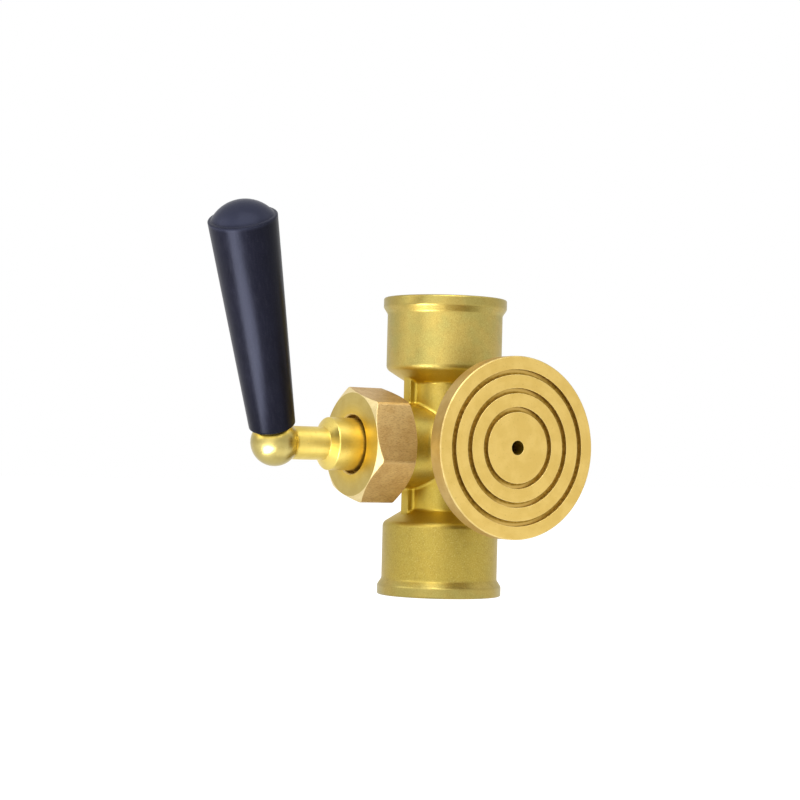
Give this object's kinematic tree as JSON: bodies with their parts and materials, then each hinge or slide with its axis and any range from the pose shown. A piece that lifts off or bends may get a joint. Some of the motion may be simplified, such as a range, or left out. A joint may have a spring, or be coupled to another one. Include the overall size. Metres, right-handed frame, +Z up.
{
  "type": "pressure gauge valve",
  "caption": "Brass gauge cock: a taper plug valve with threaded pipe sockets, a round grooved test flange, a hexagonal gland nut and a tapered black lever that turns the plug.",
  "frame": {"origin": "centre of the lower socket's mouth, in the plane of its end face", "axes": "+Z up the body axis, out of the upper socket; the plug's stem leaves towards -X and the test flange faces -Y"},
  "size_m": [0.0878, 0.0446, 0.0844],
  "materials": {
    "forged_brass": "blasted satin forging, turned faces on the flange",
    "turned_brass": "fine turned satin",
    "nut_brass": "drawn hexagon bar, turned faces",
    "inner_brass": "turned",
    "packing": "fluoropolymer packing",
    "steel": "zinc plated",
    "black_grip": "moulded thermoset, semi-gloss"
  },
  "bodies": {
    "valve_body": {"body": "forged_brass", "thrust_washer": "inner_brass", "packing_ring_1": "packing", "packing_ring_2": "packing", "packing_ring_3": "packing", "gland_follower": "inner_brass", "gland_nut": "nut_brass"},
    "plug_and_lever": {"plug": "turned_brass", "lever_stud": "steel", "grip_insert": "inner_brass", "grip": "black_grip"}
  },
  "joints": [
    {"name": "plug_turn", "type": "hinge", "parent": "valve_body", "child": "plug_and_lever", "pos_m": [0, 0, 0.034], "axis": [1, 0, 0], "continuous": true}
  ]
}
